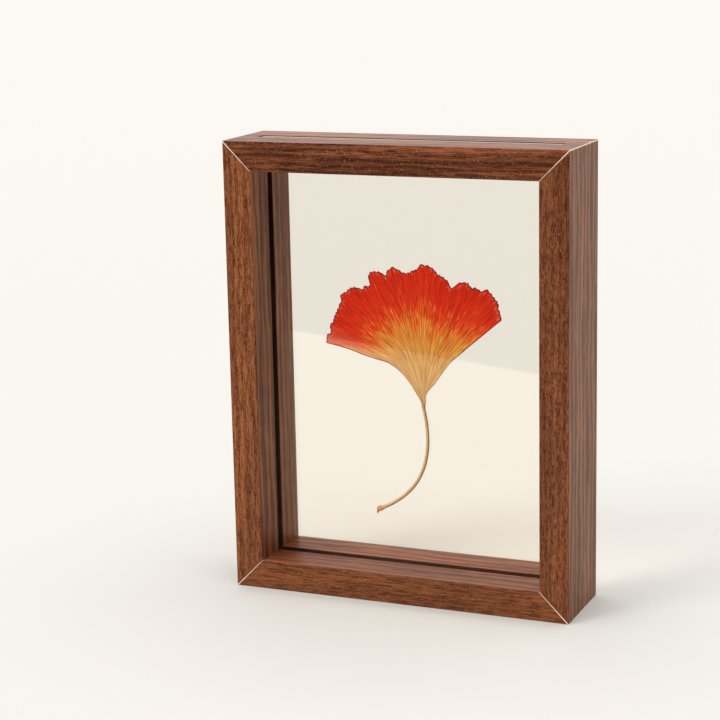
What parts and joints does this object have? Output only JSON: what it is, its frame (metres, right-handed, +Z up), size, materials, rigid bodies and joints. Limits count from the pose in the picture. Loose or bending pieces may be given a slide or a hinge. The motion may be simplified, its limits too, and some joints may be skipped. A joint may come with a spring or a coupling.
{
  "type": "pressed flower frame",
  "caption": "Free-standing mitred walnut frame, open from front to back, with one pressed red ginkgo leaf held between two clear panes that drop in through a slot in the top.",
  "frame": {"origin": "middle of the frame's underside, on the surface it stands on", "axes": "+Z up along the frame's height, front towards -Y, +X to the right when seen from the front"},
  "size_m": [0.18, 0.047, 0.232],
  "materials": {
    "walnut": "satin walnut surface with open pores, grain along each member, pale core showing as a hairline at the mitres",
    "clear_pane": "clear polished glass",
    "dried_leaf": "matt dried leaf, red outside, yellow-tan towards the neck, tan stalk"
  },
  "bodies": {
    "root": {"frame_bottom_rail": "walnut", "frame_left_stile": "walnut", "frame_right_stile": "walnut", "frame_top_rail": "walnut", "front_pane": "clear_pane", "back_pane": "clear_pane", "ginkgo_leaf": "dried_leaf"}
  },
  "joints": []
}
